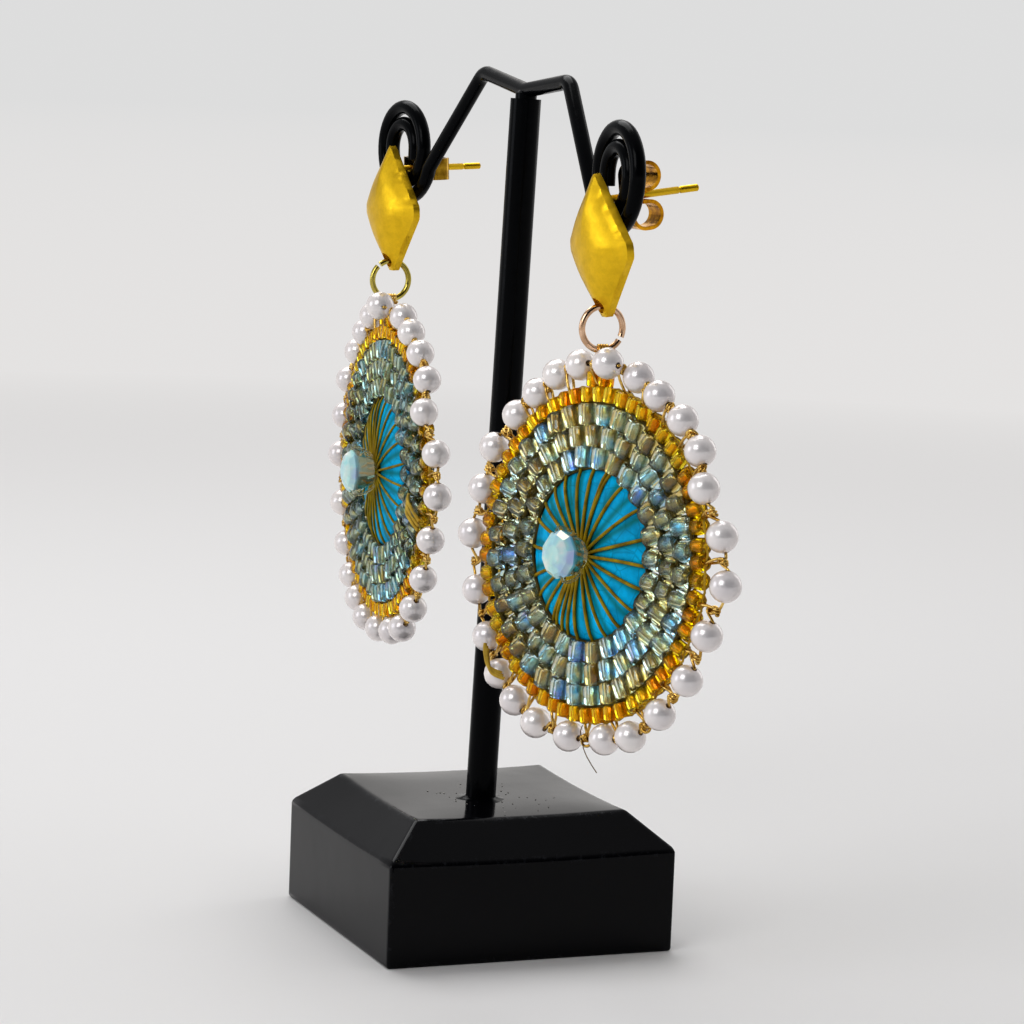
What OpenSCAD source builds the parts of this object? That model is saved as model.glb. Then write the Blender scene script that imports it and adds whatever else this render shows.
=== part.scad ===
// Pair of medallion earrings hanging on a small stand.
// Frame: origin at the middle of the base's underside, +Z up, the earrings face -Y,
// the two arms of the wire run along X.

/* [Stand] */
// Width and depth of the base block
base_w = 40; // [36:0.5:46]
// Height of the base's upright sides
base_side_h = 13.7; // [12:0.1:15]
// Full height of the base
base_h = 18.2; // [17:0.1:20]
// Inset of the sloped shoulder
base_slope = 5.2; // [3:0.1:7]
// Outer diameter of the post's tube
post_d = 4; // [3.8:0.1:4.6]
// Bore of the post's tube
post_bore = 3; // [2.9:0.1:3.2]
// Lean of the post towards the back, in degrees
post_lean = 1.55; // [1.3:0.05:1.8]
// Height of the post's mouth above the floor
post_top_z = 110.9; // [110:0.1:112]
// Diameter of the stand's wire
wire_d = 2; // [1.8:0.1:2]

/* [Stud] */
// Height of the rhombus plate
plate_h = 18.3; // [18:0.1:19]
// Width of the rhombus plate
plate_w = 16; // [14:0.1:17]
// Thickness of the plate's edge
plate_edge = 1.1; // [0.9:0.05:1.2]
// Rise of the plate's domed front above its edge
plate_dome = 2.2; // [1.5:0.1:2.4]
// Diameter of the ear post
ear_post_d = 0.9; // [0.8:0.05:0.9]
// Running clearance between the ear post and the clutch's bore, on the radius
clutch_play = 0.03; // [0.02:0.01:0.04]

/* [Medallion] */
// Diameter of the turquoise disc
disc_d = 21; // [20:0.1:21]
// Greatest thickness of the turquoise disc
disc_t = 3.2; // [3:0.1:4]
// Radial length of one aqua bead
aqua_len = 2.66; // [2.6:0.02:2.66]
// Thickness of the aqua rows
aqua_t = 2.9; // [2.6:0.1:3]
// Radial length of the gold row
gold_len = 1.9; // [1.8:0.05:1.9]
// Thickness of the gold row
gold_t = 2.1; // [1.8:0.1:2.2]
// Diameter of a pearl
pearl_d = 3.9; // [3.7:0.05:3.9]
// Girdle diameter of the crystal
crystal_d = 6; // [5.6:0.1:6]
// Diameter of the jump ring's wire
ring_wire = 0.8; // [0.7:0.05:0.8]
// Radius of the jump ring's centre line
ring_r = 2.68; // [2.6:0.02:2.72]

/* [Hidden] */
$fn = 48;

LEFT = 0;
RIGHT = 1;
overrun = 1;                    // a bore's cutter reaches this far past the face

// One entry per side, left then right
outward = [-1, 1];
peak_x = [-11.1, 18.1];         // peaks of the bent wire
peak_z = [114, 113.5];
earring_x = [-33.4, 40.6];      // place of the earring along the arms
spiral_y = [-1.5, -1.9];        // plane of the wire's spiral
spiral_yaw = [8, 0];            // turn of the spiral about the vertical, in degrees
plate_y = [-2.9, -3.67];        // back of the plate where the ear post leaves it
plate_z = [99.9, 99.75];        // height of the ear post there
plate_tilt = [3, 7.6];          // the plate's top leans forward
plate_yaw = [6, 4];             // turn of the plate about the vertical
clutch_gap = [2.6, 3.15];       // the clutch's front behind the plate's back
clutch_turn = [90, 0];          // turn of the clutch on the ear post
ring_cut_at = [222, 62];        // place of the jump ring's cut, 90 at the back
medallion_drop = [24.4, 25.1];  // medallion's centre below the jump ring's foot
medallion_back = [0.4, -0.1];   // and behind it
medallion_yaw = [-3.5, 17.1];
medallion_lean = [0, -3.7];     // a negative lean sets the top back

// Stand
post_foot = [3.8, -1.5, base_h];
socket_deep = 10;
socket_play = 0.05;
post_floor = 1;                 // closed bottom of the tube
post_run = (post_top_z - base_h) / cos(post_lean);
mouth = [post_foot[0], post_foot[1] + post_run * sin(post_lean), post_top_z];
stem_d = 2.8;                   // stem of the wire in the tube's mouth
stem_deep = 7;
stem_out = 0.6;
fork = mouth + [0, 0, 1.1];     // where the two arms part above the tube's mouth
peak_bend = 1.6;                // length of wire on each side of a peak that is bent
peak_steps = 5;                 // pieces of each bend
wire_sides = 12;

// Spiral of half turns, each of them half a pitch smaller than the one before
spiral_pitch = 2.3;
spiral_r = 6.8;
spiral_z = 102.85;
spiral_start = 200;             // where the leg meets the outer turn, in degrees
spiral_tail = 1.5;
spiral_step = 20;               // angle between the spiral's points

// Stud
post_from_tip = 3.45;           // ear post below the plate's top corner
ear_post_len = 13.2;
groove_from_end = 2.6;
groove_d = 0.5;
groove_deep = 0.13;
plate_hole_d = 2;
plate_hole_up = 2.2;            // hole above the plate's bottom corner
corner_cut = 0.7;               // blunting of the plate's corners
tip_cut = 0.2;                  // and of its top
dome_rings = 6;
dome_ease = 1.3;                // above 1 sets the dome's rings closer at the rim
dome_sides = 48;
dome_end = 0.03;                // size of the innermost ring, as a share of the outline

// Clutch
clutch_w = 3;
clutch_sheet = 0.45;
curl_r = 1.63;
curl_up = 2.35;                 // middle of a wing's curl above the ear post
curl_straight = 0.6;
curl_lip = 0.8;
boss_d = 2;
boss_len = 1.1;

// Jump ring and the loop of fine wire that hangs on its foot
ring_play = 0.45;               // the ring's wire above the plate hole's lower edge
ring_cut = 10;                  // width of the cut, in degrees
loop_wire = 0.4;
loop_r = 0.75;
loop_y = [-0.05, 0.4];          // places of the loop's two turns along the ring's foot
loop_sag = 0.06;
leg_angle = 353;                // where the two legs reach the gold row
leg_gap = 0.1;
leg_forward = 0.3;              // the legs end this far in front of their turns

// Medallion, measured from its centre, front towards -Y
row_gap = 0.1;
disc_bore = 2.2;
aqua_rows = 3;
aqua_in = disc_d / 2 + row_gap;
gold_in = aqua_in + aqua_rows * aqua_len + row_gap;
gold_out = gold_in + gold_len;
bead_round = 0.6;               // rounding of a bead's ends
pearl_bore = 0.8;
pearl_wire_d = 0.4;
pearl_wire_sides = 6;
pearl_straight = 1.6;           // the wire runs straight this far on both sides of a pearl's middle
girdle_out = 5.2;               // the crystal's girdle in front of the disc's middle plane
crystal_bore = 0.8;
crystal_turn = 18;              // turn of the crystal's hole from the vertical, in degrees
crystal_sides = 10;
crystal_thread_d = 0.4;
crystal_thread_sides = 8;

// Share of the disc's radius, share of half its thickness there
disc_profile = [[disc_bore / disc_d, 0.72], [0.16, 0.9], [0.26, 1], [0.42, 0.99], [0.58, 0.9],
                [0.72, 0.77], [0.85, 0.58], [0.94, 0.36], [1, 0.1]];

// Share of the girdle's radius, height in front of the girdle
crystal_levels = [[0.66, -2.9], [0.92, -1.6], [1, -0.2], [1, 0.15], [0.8, 0.8], [0.42, 1.25]];

// Half of the thread that carries the crystal: distance from the axis, in front of the disc's middle plane
thread_route = [[0.3, -1.5], [0.5, -1.1], [0.5, 1.2], [0.8, 1.75], [1.6, 1.88], [2.35, 2.1], [3, 3],
                [3.35, 4], [3.4, 4.6], [3.35, 5], [3, girdle_out]];

// Angle clockwise from the top, radius, forward of the rim's plane. The top pearl sits in front of the loop.
pearl_places = [[14, 23, 0], [25, 22.6, 0], [38, 22.9, 0], [50, 23, 0], [62, 22.6, 1], [77, 23.4, 0],
                [91, 24.2, 0], [107, 22.8, 0], [123, 22.8, 0], [139, 22.8, 0], [154, 23.1, 0],
                [166, 22.6, 0], [183, 22.7, 0], [199, 23.4, 0], [211, 23.4, 0], [222, 23.2, 0],
                [235, 22.6, 0], [251, 22.6, 0], [269, 23.2, 0], [284, 22.6, 0], [298, 23.2, 0],
                [313, 22.6, 0], [325, 22.6, 0], [336, 23.2, 0], [347, 23.4, 0], [366.5, 23.8, 2.6]];
pearl_n = len(pearl_places);

// First and last pearl of each length of wire. The hanging loop parts them, so the top pearl has its own.
pearl_runs = [[0, pearl_n - 2], [pearl_n - 1, pearl_n - 1]];

function unit(v) = v / norm(v);

// A point turned about X, then about Z
function turned(p, tilt, yaw) =
    let (y = p[1] * cos(tilt) - p[2] * sin(tilt), z = p[1] * sin(tilt) + p[2] * cos(tilt))
    [p[0] * cos(yaw) - y * sin(yaw), p[0] * sin(yaw) + y * cos(yaw), z];

// Polygon rings joined into one closed skin, or into a closed loop
module loft(rings, looped = false) {
    sides = len(rings[0]);
    last = len(rings) - 1;
    walls = [for (k = [0:last - (looped ? 0 : 1)], i = [0:sides - 1])
                let (j = (i + 1) % sides, next = (k + 1) % (last + 1))
                [k * sides + i, next * sides + i, next * sides + j, k * sides + j]];
    caps = looped ? [] : [[for (i = [0:sides - 1]) i], [for (i = [sides - 1:-1:0]) last * sides + i]];
    polyhedron([for (ring = rings, p = ring) p], concat(walls, caps), convexity = 6);
}

function way(from, to) = from == to ? [0, 0, 0] : unit(to - from);

// Thread along points that turn about one axis
module thread(points, d, sides, axis, looped = false) {
    n = len(points);
    loft([for (k = [0:n - 1])
             let (before = points[looped ? (k + n - 1) % n : max(k - 1, 0)],
                  after = points[looped ? (k + 1) % n : min(k + 1, n - 1)],
                  along = unit(way(points[k], after) + way(before, points[k])),
                  u = unit(cross(axis, along)), v = cross(along, u))
             [for (i = [0:sides - 1]) let (a = 360 * i / sides)
                 points[k] + d / 2 * (cos(a) * u + sin(a) * v)]], looped);
}

// Turns +Z to the given way
module along(at, way) {
    translate(at) rotate([0, acos(way[2]), atan2(way[1], way[0])]) children();
}

// Straight piece of round wire
module rod(from, to, d) { along(from, unit(to - from)) cylinder(d = d, h = norm(to - from)); }

// Arc of wire in the XZ plane, angles from +X towards +Z
module wire_arc(r, d, from, to) {
    rotate([90, 0, 0]) rotate([0, 0, from])
        rotate_extrude(angle = to - from) translate([r, 0]) circle(d = d);
}

// Places
module on_post_axis() { translate(post_foot) rotate([-post_lean, 0, 0]) children(); }

function stud_place(side) = [earring_x[side], plate_y[side], plate_z[side]];

module at_stud(side) {
    translate(stud_place(side)) rotate([plate_tilt[side], 0, plate_yaw[side]]) children();
}

function dome_rise(share) = plate_dome * (1 - share * share);

// Middle of the plate's hole, measured from the ear post's root
hole_z = post_from_tip - plate_h + plate_hole_up;
hole_share = (plate_h / 2 - plate_hole_up) / (plate_h / 2 - corner_cut);
hole_y = -(plate_edge + dome_rise(hole_share)) / 2;

function ring_place(side) =
    stud_place(side) + turned([0, hole_y, hole_z], plate_tilt[side], plate_yaw[side])
    + [0, 0, ring_play + ring_wire / 2 - plate_hole_d / 2 - ring_r];

module at_ring(side) { translate(ring_place(side)) children(); }

module at_ring_foot(side) { at_ring(side) translate([0, 0, -ring_r]) children(); }

function medallion_place(side) = [0, medallion_back[side], -medallion_drop[side]];

module at_medallion(side) {
    at_ring_foot(side) translate(medallion_place(side))
        rotate([medallion_lean[side], 0, medallion_yaw[side]]) children();
}

// A point of the medallion, measured from the ring's foot
function from_medallion(side, p) = medallion_place(side) + turned(p, medallion_lean[side], medallion_yaw[side]);

// Stand
module base_outline() {
    half = base_w / 2;
    polygon([[-half, 0], [half, 0], [half, base_side_h], [half - base_slope, base_h],
             [base_slope - half, base_h], [-half, base_side_h]]);
}

module stand_base() {
    color([0.07, 0.07, 0.08]) difference() {
        intersection() {
            rotate([90, 0, 0]) linear_extrude(base_w, center = true) base_outline();
            rotate([90, 0, 90]) linear_extrude(base_w, center = true) base_outline();
        }
        on_post_axis() translate([0, 0, -socket_deep])
            cylinder(d = post_d + 2 * socket_play, h = 2 * socket_deep);
    }
}

module stand_post() {
    color([0.06, 0.06, 0.07]) on_post_axis() translate([0, 0, -socket_deep]) difference() {
        cylinder(d = post_d, h = socket_deep + post_run);
        translate([0, 0, post_floor]) cylinder(d = post_bore, h = socket_deep + post_run);
    }
}

function half_turn(x, r, from, to) = [for (a = [from:spiral_step:to]) [x + r * cos(a), 0, r * sin(a)]];

// Flat spiral seen from the front, for the right arm, from the leg inwards
function spiral_points() =
    let (shift = spiral_pitch / 4, step = spiral_pitch / 2, in_r = spiral_r - 3 * step)
    concat(half_turn(-shift, spiral_r, spiral_start, 360 - spiral_step),
           half_turn(shift, spiral_r - step, 0, 180 - spiral_step),
           half_turn(-shift, spiral_r - 2 * step, 180, 360 - spiral_step),
           half_turn(shift, in_r, 0, 180),
           [[shift - in_r, 0, -spiral_tail]]);

// Points of one arm, from its peak's bend to the end of its spiral
function arm_points(side) =
    let (coil = [for (p = spiral_points()) [earring_x[side], spiral_y[side], spiral_z]
                     + turned([outward[side] * p[0], 0, p[2]], 0, spiral_yaw[side])],
         peak = [peak_x[side], mouth[1], peak_z[side]],
         to_fork = unit(fork - peak) * peak_bend, to_coil = unit(coil[0] - peak) * peak_bend)
    concat([for (k = [0:peak_steps]) let (t = k / peak_steps)
               peak + (1 - t) * (1 - t) * to_fork + t * t * to_coil], coil);

module stand_wire() {
    left = arm_points(LEFT);
    last = len(left) - 1;
    color([0.07, 0.07, 0.08]) {
        thread(concat([for (i = [0:last]) left[last - i]], [fork], arm_points(RIGHT)),
               wire_d, wire_sides, [0, 1, 0]);
        on_post_axis() translate([0, 0, post_run - stem_deep]) cylinder(d = stem_d, h = stem_deep + stem_out);
    }
}

// Stud
function rhombus_point(a) =
    let (c = cos(a), s = sin(a), reach = 1 / (abs(c) * 2 / plate_w + abs(s) * 2 / plate_h))
    [c * min(reach, plate_w / 2 - corner_cut), s * min(reach, plate_h / 2 - (s > 0 ? tip_cut : corner_cut))];

module plate_body() {
    outline = [for (i = [0:dome_sides - 1]) rhombus_point(360 * i / dome_sides)];
    shares = [for (k = [0:dome_rings]) 1 - pow(k / dome_rings, dome_ease) * (1 - dome_end)];
    back = [for (p = outline) [p[0], 0, p[1]]];
    front = [for (s = shares) [for (p = outline) [p[0] * s, -plate_edge - dome_rise(s), p[1] * s]]];
    loft(concat([back], front));
}

module ear_post() {
    root = plate_edge / 2;
    rotate([-90, 0, 0]) difference() {
        translate([0, 0, -root]) cylinder(d = ear_post_d, h = ear_post_len + root);
        translate([0, 0, ear_post_len - groove_from_end]) rotate_extrude()
            translate([(ear_post_d + groove_d) / 2 - groove_deep, 0]) circle(d = groove_d);
    }
}

module stud(side) {
    color([0.85, 0.68, 0.15]) at_stud(side) {
        difference() {
            translate([0, 0, post_from_tip - plate_h / 2]) plate_body();
            translate([0, overrun, hole_z]) rotate([90, 0, 0])
                cylinder(d = plate_hole_d, h = plate_edge + plate_dome + 2 * overrun);
        }
        ear_post();
    }
}

// One wing from the side: first axis towards the back, second away from the ear post
module wing_outline() {
    outer = curl_r + clutch_sheet / 2;
    inner = curl_r - clutch_sheet / 2;
    first = outer;
    second = first + curl_straight;
    lap = 0.02;
    translate([0, curl_up]) {
        intersection() {
            translate([first, 0]) difference() {
                circle(outer);
                circle(inner);
            }
            square([first + lap, outer]);
        }
        translate([first, inner]) square([curl_straight, clutch_sheet]);
        difference() {
            translate([second, 0]) circle(outer);
            translate([second, 0]) circle(inner);
            translate([0, -outer]) square([second - lap, 2 * outer]);
        }
        translate([second - curl_lip, -outer]) square([curl_lip, clutch_sheet]);
    }
}

// Clutch: a plate with two wings that curl back to the ear post
module clutch(side) {
    bore_d = ear_post_d + 2 * clutch_play;
    color([0.86, 0.62, 0.12]) at_stud(side) translate([0, clutch_gap[side], 0])
        rotate([0, clutch_turn[side], 0]) {
            difference() {
                union() {
                    translate([-clutch_w / 2, 0, -curl_up]) cube([clutch_w, clutch_sheet, 2 * curl_up]);
                    rotate([-90, 0, 0]) cylinder(d = boss_d, h = boss_len);
                }
                translate([0, boss_len + overrun, 0]) rotate([90, 0, 0])
                    cylinder(d = bore_d, h = boss_len + 2 * overrun);
            }
            for (m = [0, 1]) mirror([0, 0, m]) rotate([90, 0, 90])
                linear_extrude(clutch_w, center = true) wing_outline();
        }
}

// Jump ring, in the YZ plane
module jump_ring(side) {
    color([0.8, 0.62, 0.3]) at_ring(side) rotate([0, 90, 0])
        rotate([0, 0, ring_cut_at[side] + ring_cut / 2])
            rotate_extrude(angle = 360 - ring_cut) translate([ring_r, 0]) circle(d = ring_wire);
}

// Two turns of fine wire round the ring's foot, and their legs to the gold row
module hang_loop(side) {
    low = -loop_sag - loop_r;
    color([0.85, 0.65, 0.2]) at_ring_foot(side) {
        for (y = loop_y) {
            translate([0, y, -loop_sag]) wire_arc(loop_r, loop_wire, 0, 360);
            rod([0, y, low], leg_end(side, y), loop_wire);
        }
        rod([0, loop_y[0], low], [0, loop_y[1], low], loop_wire);
    }
}

function leg_end(side, y) =
    let (r = gold_out + leg_gap + loop_wire / 2)
    from_medallion(side, [r * sin(leg_angle), y - leg_forward, r * cos(leg_angle)]);

// Medallion
module turned_ring(profile) {
    rotate([90, 0, 0]) rotate_extrude() polygon(profile);
}

function mirrored_back(front) = concat(front, [for (i = [len(front) - 1:-1:0]) [front[i][0], -front[i][1]]]);

function bead_rows(inner, length, rows, thick) =
    mirrored_back(concat(
        [for (k = [0:rows - 1], p = [[0, thick / 2 - bead_round], [bead_round, thick / 2],
                                     [length - bead_round, thick / 2]])
            [inner + k * length + p[0], p[1]]],
        [[inner + rows * length, thick / 2 - bead_round]]));

module turquoise_disc(side) {
    color([0, 0.55, 0.75]) at_medallion(side)
        turned_ring(mirrored_back([for (p = disc_profile) [p[0] * disc_d / 2, p[1] * disc_t / 2]]));
}

module aqua_beads(side) {
    color([0.66, 0.84, 0.86]) at_medallion(side) turned_ring(bead_rows(aqua_in, aqua_len, aqua_rows, aqua_t));
}

module gold_beads(side) {
    color([0.84, 0.6, 0.1]) at_medallion(side) turned_ring(bead_rows(gold_in, gold_len, 1, gold_t));
}

function pearl_at(i) =
    let (p = pearl_places[min(max(i, 0), pearl_n - 1)])
    [p[1] * sin(p[0]), -p[2], p[1] * cos(p[0])];

// Way of a pearl's bore
function pearl_way(i) = unit(pearl_at(i + 1) - pearl_at(i - 1));

module pearls(side) {
    color([0.93, 0.9, 0.88]) at_medallion(side) for (i = [0:pearl_n - 1])
        along(pearl_at(i), pearl_way(i)) difference() {
            sphere(d = pearl_d);
            cylinder(d = pearl_bore, h = 2 * pearl_d, center = true);
        }
}

module pearl_wire(side) {
    color([0.8, 0.62, 0.2]) at_medallion(side) for (run = pearl_runs)
        thread([for (i = [run[0]:run[1]], s = [-1, 1]) pearl_at(i) + s * pearl_way(i) * pearl_straight],
               pearl_wire_d, pearl_wire_sides, [0, 1, 0]);
}

module crystal_bead(side) {
    rings = [for (level = crystal_levels)
                [for (i = [0:crystal_sides - 1]) let (a = 360 * i / crystal_sides, r = level[0] * crystal_d / 2)
                    [r * cos(a), -girdle_out - level[1], r * sin(a)]]];
    color([0.75, 0.85, 0.85]) at_medallion(side) rotate([0, -crystal_turn, 0]) difference() {
        loft(rings);
        translate([0, -girdle_out, -crystal_d]) cylinder(d = crystal_bore, h = 2 * crystal_d);
    }
}

module crystal_thread(side) {
    half = [for (p = thread_route) [0, -p[1], p[0]]];
    other = [for (i = [len(half) - 1:-1:0]) [0, half[i][1], -half[i][2]]];
    color([0.55, 0.45, 0.2]) at_medallion(side) rotate([0, -crystal_turn, 0])
        thread(concat(half, other), crystal_thread_d, crystal_thread_sides, [1, 0, 0], looped = true);
}

stand_base();
stand_post();
stand_wire();
stud(LEFT);  // stud_left
stud(RIGHT);  // stud_right
clutch(LEFT);  // clutch_left
clutch(RIGHT);  // clutch_right
jump_ring(LEFT);  // jump_ring_left
jump_ring(RIGHT);  // jump_ring_right
hang_loop(LEFT);  // hang_loop_left
hang_loop(RIGHT);  // hang_loop_right
turquoise_disc(LEFT);  // turquoise_disc_left
turquoise_disc(RIGHT);  // turquoise_disc_right
aqua_beads(LEFT);  // aqua_beads_left
aqua_beads(RIGHT);  // aqua_beads_right
gold_beads(LEFT);  // gold_beads_left
gold_beads(RIGHT);  // gold_beads_right
pearls(LEFT);  // pearls_left
pearls(RIGHT);  // pearls_right
pearl_wire(LEFT);  // pearl_wire_left
pearl_wire(RIGHT);  // pearl_wire_right
crystal_bead(LEFT);  // crystal_bead_left
crystal_bead(RIGHT);  // crystal_bead_right
crystal_thread(LEFT);  // crystal_thread_left
crystal_thread(RIGHT);  // crystal_thread_right
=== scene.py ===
import math
import random

import bmesh
import bpy
from mathutils import Matrix, Vector


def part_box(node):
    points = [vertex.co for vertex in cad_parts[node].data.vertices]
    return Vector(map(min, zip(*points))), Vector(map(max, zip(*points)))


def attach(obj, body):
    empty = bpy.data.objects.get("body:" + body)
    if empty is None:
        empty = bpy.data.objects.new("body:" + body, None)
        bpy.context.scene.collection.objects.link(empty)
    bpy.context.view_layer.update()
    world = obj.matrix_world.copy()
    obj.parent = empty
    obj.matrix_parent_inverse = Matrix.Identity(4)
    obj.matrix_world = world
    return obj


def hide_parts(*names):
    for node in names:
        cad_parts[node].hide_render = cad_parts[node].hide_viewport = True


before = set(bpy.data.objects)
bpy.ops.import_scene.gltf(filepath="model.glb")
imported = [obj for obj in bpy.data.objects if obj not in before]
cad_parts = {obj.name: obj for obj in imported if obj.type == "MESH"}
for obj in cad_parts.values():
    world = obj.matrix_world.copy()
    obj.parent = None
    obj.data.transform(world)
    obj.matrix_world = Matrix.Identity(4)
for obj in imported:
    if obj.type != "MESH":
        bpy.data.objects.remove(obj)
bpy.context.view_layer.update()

MM = 0.001
SIDES = ("left", "right")

# Places and sizes from the part's source, in millimetres and degrees, left then right
OUTWARD = {"left": -1, "right": 1}
EARRING_X = {"left": -33.4, "right": 40.6}
SPIRAL_Y = {"left": -1.5, "right": -1.9}
SPIRAL_YAW = {"left": 8, "right": 0}
SPIRAL_Z = 102.85
SPIRAL_R = 6.8
SPIRAL_PITCH = 2.3
SPIRAL_TAIL = 1.5
PEAK = {"left": (-11.1, 1.008, 114), "right": (18.1, 1.008, 113.5)}
PEAK_BEND = 1.6
FORK = (3.8, 1.008, 112)
WIRE_R = 1
BASE_HALF = 20
BASE_SLOPE = 5.2
BASE_SIDE_H = 13.7
BASE_H = 18.2
POST_FOOT = (3.8, -1.5)
POST_MOUTH = (3.8, 1.008, 110.9)
POST_LEAN = 1.55
STUD = {"left": (-33.4, -2.9, 99.9), "right": (40.6, -3.67, 99.75)}
STUD_TILT = {"left": 3, "right": 7.6}
STUD_YAW = {"left": 6, "right": 4}
PLATE_W = 16
PLATE_H = 18.3
PLATE_EDGE = 1.1
PLATE_DOME = 2.2
CORNER_CUT = 0.7
TIP_CUT = 0.2
POST_FROM_TIP = 3.45
PLATE_HOLE_D = 2
PLATE_HOLE_UP = 2.2
EAR_POST_D = 0.9
EAR_POST_LEN = 13.2
RING_CENTRE = {"left": (-33.3746, -3.14125, 84.3899), "right": (40.5459, -2.89676, 84.2613)}
RING_R = 2.68
DROP_YAW = {"left": -3.5, "right": 17.1}
DROP_LEAN = {"left": 0, "right": -3.7}
DISC_R = 10.5
DISC_HALF = 1.6
HOLE_R = 1.1
GOLD_OUT = 20.58
PEARL_R = 1.95
BORE_R = 0.4

# Share of the disc's radius, share of half its thickness there
DISC_PROFILE = ((0.105, 0.72), (0.16, 0.9), (0.26, 1), (0.42, 0.99), (0.58, 0.9),
                (0.72, 0.77), (0.85, 0.58), (0.94, 0.36), (1, 0.1))

# Each pearl's angle clockwise from the top, its radius, and how far it is forward of the rim's plane
PEARL_PLACES = ((14, 23, 0), (25, 22.6, 0), (38, 22.9, 0), (50, 23, 0), (62, 22.6, 1), (77, 23.4, 0),
                (91, 24.2, 0), (107, 22.8, 0), (123, 22.8, 0), (139, 22.8, 0), (154, 23.1, 0),
                (166, 22.6, 0), (183, 22.7, 0), (199, 23.4, 0), (211, 23.4, 0), (222, 23.2, 0),
                (235, 22.6, 0), (251, 22.6, 0), (269, 23.2, 0), (284, 22.6, 0), (298, 23.2, 0),
                (313, 22.6, 0), (325, 22.6, 0), (336, 23.2, 0), (347, 23.4, 0), (366.5, 23.8, 2.6))

# Where the windings cross the rim of each disc, clockwise from the top
WINDINGS = {"right": (10, 13.5, 29, 51, 72, 90, 106, 123, 140, 155, 169, 184, 194, 201, 208, 212, 222, 234,
                      248, 268, 287, 300, 314, 327, 343, 357),
            "left": (4, 22, 40, 58, 77, 95, 113, 131, 149, 168, 186, 200, 208, 222, 240, 257, 275, 292, 305,
                     317, 328, 340, 350)}

# Radius, number of beads, angle of the first one
AQUA_ROWS = ((11.93, 26, 2), (14.59, 31, 7), (17.25, 36, 1))
GOLD_ROW = (19.63, 57, 3)

# Radius and number of turns of the thread in each joint between two rows
STITCH_ROWS = ((10.66, 52), (13.26, 57), (15.92, 67), (18.58, 72))

# Angle, and forward of the rim's plane, of the threads that go up to the jump ring
RING_THREADS = ((353.6, 0.35), (355.5, 0.0), (357.4, -0.3), (359.2, 0.2))

# Radii of threads and wires
WINDING_R = {"left": 0.17, "right": 0.22}
STITCH_R = 0.24
EDGE_THREAD_R = 0.16
STRIP_R = 0.24
TAIL_R = 0.06
DARN_R = 0.27
FINE_WIRE_R = 0.19

# The photograph's camera: metres, degrees, and a focal length in pixels of the square frame
CAMERA_AT = (0.4317, -0.1749, 0.1185)
CAMERA_TURN = (22.39, -7.62, 2.30)
FOCAL_PX = 3531
FRAME_PX = 1024
LIGHTS_AIM = (0, 0, 0.06)


# Geometry helpers
def collect(name, bm, keep_normals=False):
    if not keep_normals:
        bmesh.ops.remove_doubles(bm, verts=bm.verts, dist=1e-7)
        bmesh.ops.recalc_face_normals(bm, faces=bm.faces)
    mesh = bpy.data.meshes.new(name)
    bm.to_mesh(mesh)
    bm.free()
    piece = bpy.data.objects.new(name, mesh)
    bpy.context.collection.objects.link(piece)
    return piece


def fit(piece, body, slot, material, *nodes):
    piece.data.materials.append(material)
    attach(piece, body)
    if nodes:
        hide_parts(*nodes)
    return piece


def soften(bm, angle=35):
    for face in bm.faces:
        face.smooth = True
    for edge in bm.edges:
        if len(edge.link_faces) == 2:
            edge.smooth = edge.calc_face_angle(0) < math.radians(angle)


def turned(profile, steps, closed=False, angle=35):
    """Profile of (radius, height) turned about Z."""
    bm = bmesh.new()
    verts = [bm.verts.new((r * MM, 0, z * MM)) for r, z in profile]
    pairs = list(zip(verts, verts[1:])) + ([(verts[-1], verts[0])] if closed else [])
    edges = [bm.edges.new(pair) for pair in pairs]
    bmesh.ops.spin(bm, geom=verts + edges, cent=(0, 0, 0), axis=(0, 0, 1), dvec=(0, 0, 0),
                   angle=math.tau, steps=steps, use_merge=True, use_duplicate=False)
    bmesh.ops.remove_doubles(bm, verts=bm.verts, dist=1e-7)
    bmesh.ops.recalc_face_normals(bm, faces=bm.faces)
    soften(bm, angle)
    return bm


def strung(template, places, name):
    """Copies of one small shape, each with its own tone between 0 and 1."""
    shape = bpy.data.meshes.new("shape")
    template.to_mesh(shape)
    template.free()
    count = len(shape.vertices)
    bm = bmesh.new()
    for place, _ in places:
        start = len(bm.verts)
        bm.from_mesh(shape)
        bm.verts.ensure_lookup_table()
        bmesh.ops.transform(bm, matrix=place, verts=bm.verts[start:])
    bpy.data.meshes.remove(shape)
    piece = collect(name, bm, keep_normals=True)
    tone = piece.data.attributes.new("tone", "FLOAT", "POINT")
    tone.data.foreach_set("value", [t for _, t in places for _ in range(count)])
    return piece


def eased(points, steps=4, looped=False):
    """Points of a smooth line through the given ones."""
    n = len(points)

    def at(i):
        return Vector(points[i % n] if looped else points[min(max(i, 0), n - 1)])

    line = []
    for i in range(n if looped else n - 1):
        a, b, c, d = at(i - 1), at(i), at(i + 1), at(i + 2)
        for k in range(steps):
            t = k / steps
            line.append(0.5 * (2 * b + (c - a) * t + (2 * a - 5 * b + 4 * c - d) * t * t
                               + (3 * b - a - 3 * c + d) * t ** 3))
    return line if looped else line + [at(n - 1)]


def strands(name, lines, radius, place=Matrix(), looped=False, sides=2):
    """Round threads or wires along lines of points in millimetres."""
    curve = bpy.data.curves.new(name, "CURVE")
    curve.dimensions = "3D"
    curve.bevel_depth = radius * MM
    curve.bevel_resolution = sides
    curve.use_fill_caps = True
    for line in lines:
        spline = curve.splines.new("POLY")
        spline.points.add(len(line) - 1)
        for point, p in zip(spline.points, line):
            point.co = (*(place @ (Vector(p) * MM)), 1)
        spline.use_cyclic_u = looped
        spline.use_smooth = True
    piece = bpy.data.objects.new(name, curve)
    bpy.context.collection.objects.link(piece)
    return piece


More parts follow.
